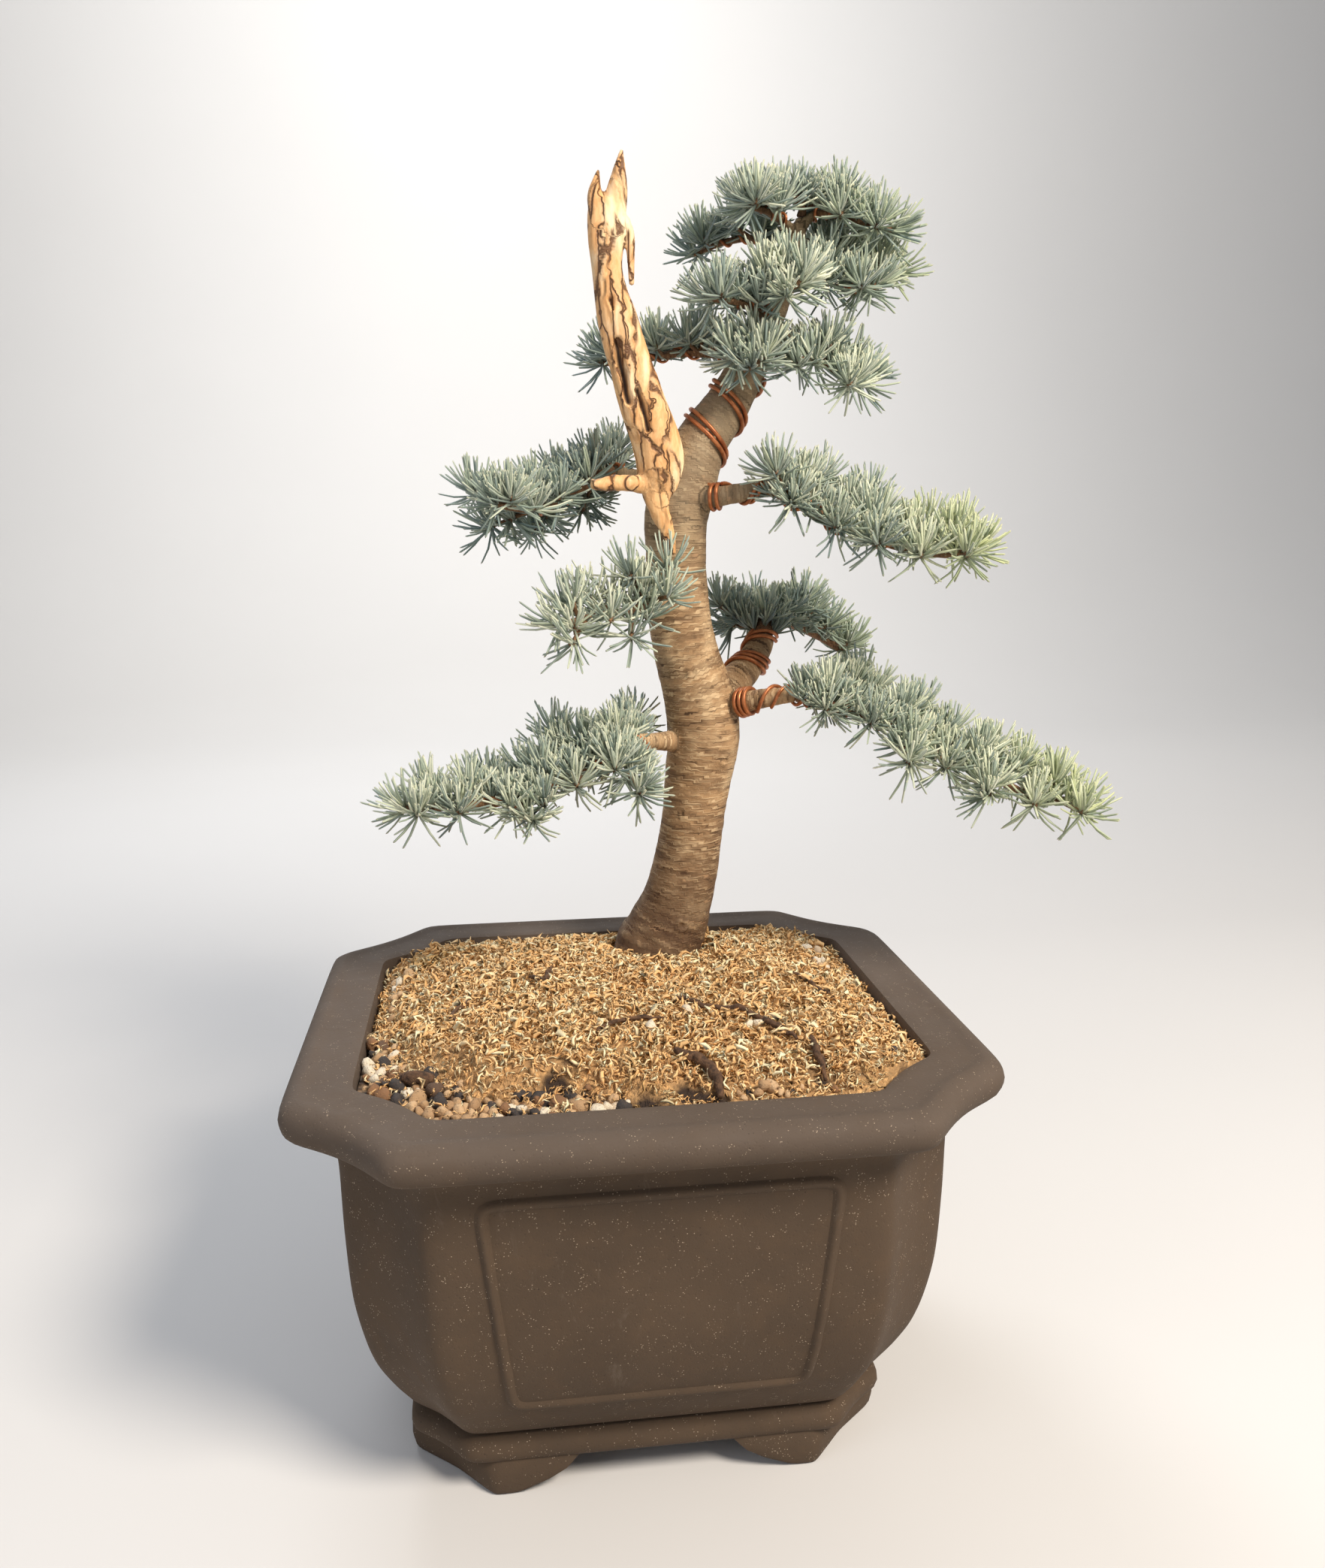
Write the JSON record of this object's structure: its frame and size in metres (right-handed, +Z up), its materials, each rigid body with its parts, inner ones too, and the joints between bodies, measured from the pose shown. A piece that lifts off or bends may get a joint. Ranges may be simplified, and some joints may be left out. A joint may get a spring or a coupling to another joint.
{
  "type": "bonsai tree in pot",
  "caption": "Blue atlas cedar bonsai with a live leader, a carved deadwood spike and wired limbs, in a footed rectangular clay pot with cut corners; ornamental.",
  "frame": {"origin": "under the middle of the whole bonsai's bounding box, on the surface that the pot's feet stand on", "axes": "+Z up; +X to the right and +Y away as the bonsai is seen from its front, so the long side of the pot runs along X"},
  "size_m": [0.4584, 0.3556, 0.6939],
  "materials": {
    "unglazed_clay": "matt unglazed dark brown clay",
    "screen_plastic": "matt black mesh",
    "gritty_soil": "loose grit of pumice and baked clay",
    "chopped_moss": "dry golden chopped moss",
    "bark": "rough grey-brown bark",
    "bare_wood": "carved, oiled bare wood",
    "copper_brown_wire": "copper-brown anodised, satin",
    "blue_needles": "waxy blue-green needles"
  },
  "bodies": {
    "root": {"deadwood": "bare_wood", "drain_screen_left": "screen_plastic", "drain_screen_right": "screen_plastic", "moss_dressing": "chopped_moss", "pot": "unglazed_clay", "soil": "gritty_soil", "spray_back_right": "blue_needles", "spray_crown_apex": "blue_needles", "spray_crown_front": "blue_needles", "spray_crown_front_low": "blue_needles", "spray_crown_left_row": "blue_needles", "spray_crown_mid_left": "blue_needles", "spray_crown_outer_left": "blue_needles", "spray_crown_right_back": "blue_needles", "spray_crown_right_low": "blue_needles", "spray_crown_right_mid": "blue_needles", "spray_crown_right_upper": "blue_needles", "spray_crown_top_left": "blue_needles", "spray_lower_left": "blue_needles", "spray_lower_right": "blue_needles", "spray_mid_left": "blue_needles", "spray_upper_left": "blue_needles", "spray_upper_right": "blue_needles", "trunk_and_limbs": "bark", "wire_back_right_inner": "copper_brown_wire", "wire_back_right_outer": "copper_brown_wire", "wire_crown_left": "copper_brown_wire", "wire_crown_right": "copper_brown_wire", "wire_leader_left": "copper_brown_wire", "wire_leader_right": "copper_brown_wire", "wire_lower_left": "copper_brown_wire", "wire_lower_right": "copper_brown_wire", "wire_upper_left": "copper_brown_wire", "wire_upper_right": "copper_brown_wire"}
  },
  "joints": []
}
